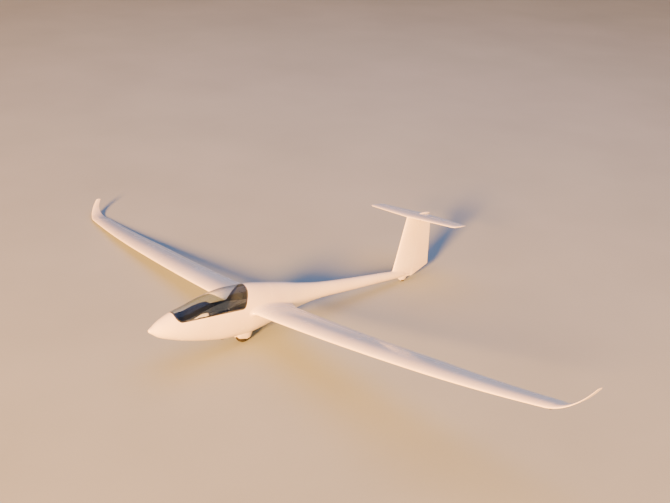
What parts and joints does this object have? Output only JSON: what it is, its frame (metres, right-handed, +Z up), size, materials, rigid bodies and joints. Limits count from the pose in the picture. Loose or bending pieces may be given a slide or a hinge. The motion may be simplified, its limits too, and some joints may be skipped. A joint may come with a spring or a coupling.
{
  "type": "single-seat t-tail sailplane with blended winglets",
  "caption": "T-tail sailplane parked on its main wheel with one wing tip on the ground; its control surfaces, airbrakes, canopy and wheels move.",
  "frame": {"origin": "on the ground, under the middle of the standing aircraft's box", "axes": "+X to the port wing tip, +Y to the tail, +Z up; the aircraft's own axes are rolled and pitched in this frame, because it rests on its main wheel, tail wheel and starboard wing tip"},
  "size_m": [13.193, 6.4632, 2.0227],
  "materials": {
    "gelcoat": "polished white gelcoat",
    "hard_rubber": "scuffed hard rubber",
    "acrylic_glass": "clear blown acrylic",
    "black_frame": "matt black",
    "tyre": "treaded rubber",
    "wheel_alloy": "cast and turned",
    "steel": "zinc plated",
    "seat_fabric": "woven upholstery",
    "cockpit_trim": "grained dark grey",
    "blue_knob": "moulded blue"
  },
  "bodies": {
    "airframe": {"fuselage_nose": "gelcoat", "cockpit_shell_port": "gelcoat", "cockpit_shell_starboard": "gelcoat", "fuselage_centre": "gelcoat", "tail_boom": "gelcoat", "fin": "gelcoat", "stabiliser": "gelcoat", "elevator_drive_fairing": "gelcoat", "wing_port": "gelcoat", "wing_starboard": "gelcoat", "winglet_port": "gelcoat", "winglet_starboard": "gelcoat", "wing_tip_skid_port": "hard_rubber", "wing_tip_skid_starboard": "hard_rubber", "main_wheel_fairing": "gelcoat", "main_axle": "steel", "main_leg_port": "steel", "main_leg_starboard": "steel", "tail_wheel_fairing": "gelcoat", "tail_axle": "steel", "tow_hook": "steel", "seat_pan": "seat_fabric", "seat_back": "seat_fabric", "headrest": "seat_fabric", "cockpit_floor": "cockpit_trim", "instrument_panel": "black_frame", "instrument_cowl": "cockpit_trim", "instrument_pedestal": "cockpit_trim", "control_stick": "black_frame", "rudder_pedal_port": "steel", "rudder_pedal_starboard": "steel", "side_rail_port": "cockpit_trim", "side_rail_starboard": "cockpit_trim", "airbrake_lever": "blue_knob", "flap_lever": "black_frame", "canopy_hinge_front": "steel", "canopy_hinge_rear": "steel"},
    "rudder": {"rudder": "gelcoat"},
    "elevator": {"elevator_port": "gelcoat", "elevator_starboard": "gelcoat"},
    "flaperon_inner_port": {"flaperon_inner_port": "gelcoat"},
    "flaperon_outer_port": {"flaperon_outer_port": "gelcoat"},
    "flaperon_inner_starboard": {"flaperon_inner_starboard": "gelcoat"},
    "flaperon_outer_starboard": {"flaperon_outer_starboard": "gelcoat"},
    "airbrake_port": {"airbrake_port": "gelcoat"},
    "airbrake_starboard": {"airbrake_starboard": "gelcoat"},
    "canopy": {"canopy_glass": "acrylic_glass", "canopy_frame": "black_frame"},
    "main_wheel": {"main_tyre": "tyre", "main_hub": "wheel_alloy"},
    "tail_wheel": {"tail_tyre": "tyre", "tail_hub": "wheel_alloy"}
  },
  "joints": [
    {"name": "main_wheel_spin", "type": "hinge", "parent": "airframe", "child": "main_wheel", "pos_m": [0.13759, -1.43394, 0.15866], "axis": [0.9914, 0.0088, 0.1305], "continuous": true},
    {"name": "tail_wheel_spin", "type": "hinge", "parent": "airframe", "child": "tail_wheel", "pos_m": [0.11777, 2.42132, 0.04967], "axis": [0.9914, 0.0088, 0.1305], "continuous": true},
    {"name": "rudder_hinge", "type": "hinge", "parent": "airframe", "child": "rudder", "pos_m": [0.11835, 2.59073, 0.03386], "axis": [-0.127, 0.3045, 0.944], "range_deg": [-30, 30]},
    {"name": "elevator_hinge", "type": "hinge", "parent": "airframe", "child": "elevator", "pos_m": [-0.00325, 2.94096, 1.24046], "axis": [0.9914, 0.0088, 0.1305], "range_deg": [-22, 26]},
    {"name": "flaperon_inner_port_hinge", "type": "hinge", "parent": "airframe", "child": "flaperon_inner_port", "pos_m": [0.50846, -0.69084, 0.54635], "axis": [0.9858, 0.0038, 0.1682], "range_deg": [-18, 24]},
    {"name": "flaperon_outer_port_hinge", "type": "hinge", "parent": "airframe", "child": "flaperon_outer_port", "pos_m": [3.19835, -0.68035, 1.00564], "axis": [0.9789, -0.0042, 0.2044], "range_deg": [-18, 24]},
    {"name": "flaperon_inner_starboard_hinge", "type": "hinge", "parent": "airframe", "child": "flaperon_inner_starboard", "pos_m": [-3.02877, -0.73548, 0.18463], "axis": [0.9956, 0.0137, 0.0927], "range_deg": [-18, 24]},
    {"name": "flaperon_outer_starboard_hinge", "type": "hinge", "parent": "airframe", "child": "flaperon_outer_starboard", "pos_m": [-5.76189, -0.7946, 0.03118], "axis": [0.9982, 0.0217, 0.0559], "range_deg": [-18, 24]},
    {"name": "airbrake_port_slide", "type": "slide", "parent": "airframe", "child": "airbrake_port", "axis": [-0.1806, 0.1328, 0.9745], "range_m": [0, 0.06]},
    {"name": "airbrake_starboard_slide", "type": "slide", "parent": "airframe", "child": "airbrake_starboard", "axis": [-0.0801, 0.1337, 0.9878], "range_m": [0, 0.06]},
    {"name": "canopy_hinge", "type": "hinge", "parent": "airframe", "child": "canopy", "pos_m": [-0.22443, -1.52837, 0.67], "axis": [-0.0048, -0.9946, 0.1038], "range_deg": [0, 80]}
  ],
  "couplings": [
    {"joint": "flaperon_outer_port_hinge", "follows": "flaperon_inner_port_hinge", "ratio": 1},
    {"joint": "flaperon_outer_starboard_hinge", "follows": "flaperon_inner_starboard_hinge", "ratio": 1}
  ]
}
